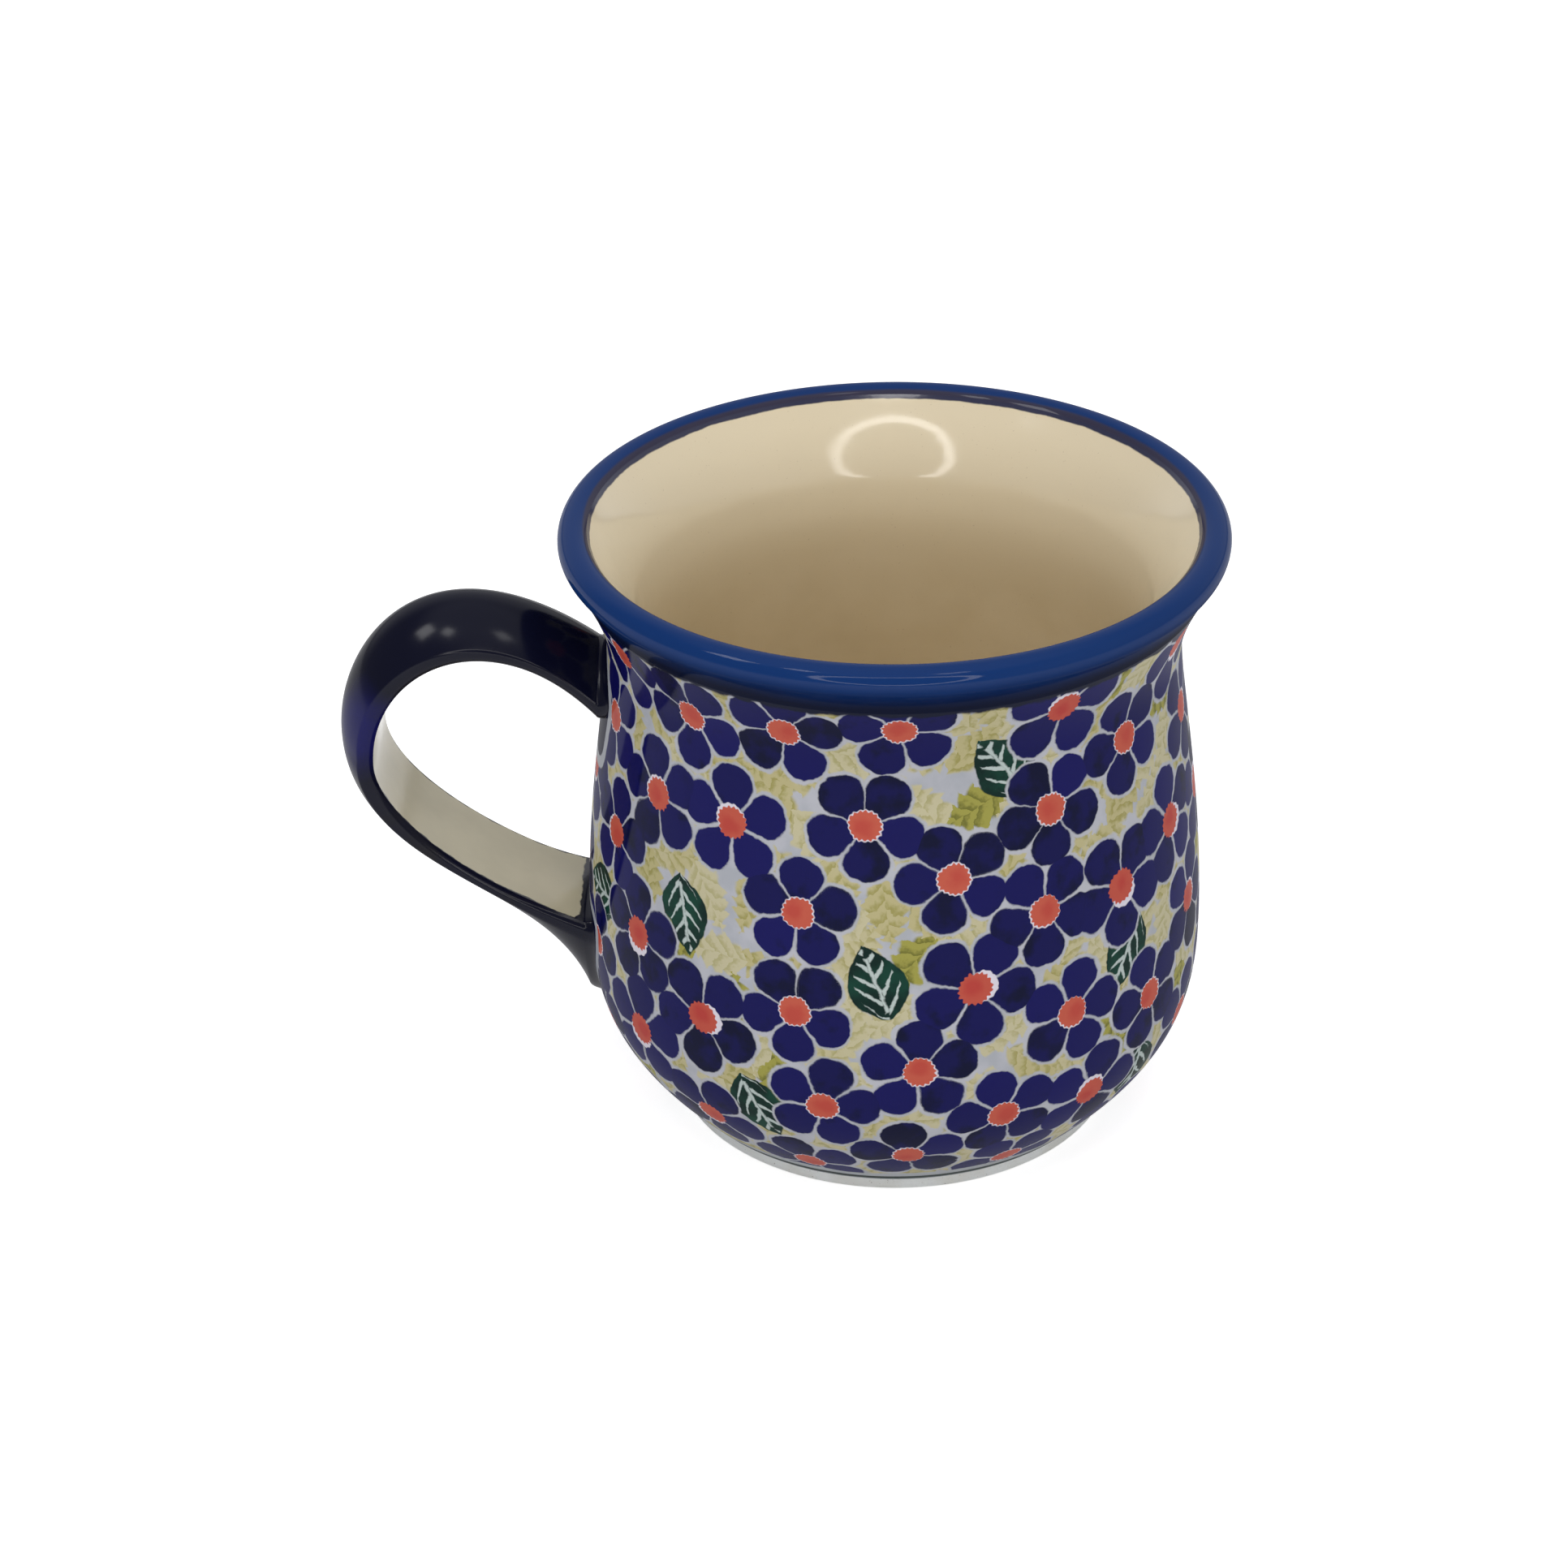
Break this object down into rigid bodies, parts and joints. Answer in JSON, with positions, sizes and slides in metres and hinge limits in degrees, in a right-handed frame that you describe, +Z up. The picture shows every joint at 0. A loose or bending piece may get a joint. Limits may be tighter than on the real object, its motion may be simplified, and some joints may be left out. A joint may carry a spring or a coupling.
{
  "type": "mug",
  "caption": "Pot-bellied stoneware mug with a flared round lip, a strap handle and a foot ring, for hot drinks; painted all over with dark blue blossoms and pale leaves under clear glaze.",
  "frame": {"origin": "centre of the foot ring in the plane that it stands on, on the cup's axis", "axes": "+Z up along the cup's axis; the handle points along -X, in the plane y = 0"},
  "size_m": [0.128, 0.095, 0.093],
  "materials": {
    "stoneware": "bare fired clay, fine-grained and matt",
    "painted_glaze": "glossy clear glaze over blossoms and leaves painted on white slip",
    "cobalt_glaze": "glossy cobalt blue, thinner and brighter on the lip",
    "navy_glaze": "glossy, nearly black cobalt",
    "cream_glaze": "glossy clear glaze over cream clay"
  },
  "bodies": {
    "root": {"stoneware_body": "stoneware", "handle_strap": "stoneware", "upper_slip_joint": "navy_glaze", "lower_slip_joint": "navy_glaze", "belly_glaze": "painted_glaze", "rim_glaze": "cobalt_glaze", "lining_glaze": "cream_glaze", "base_glaze": "cream_glaze", "handle_cobalt_glaze": "navy_glaze", "grip_glaze": "cream_glaze"}
  },
  "joints": []
}
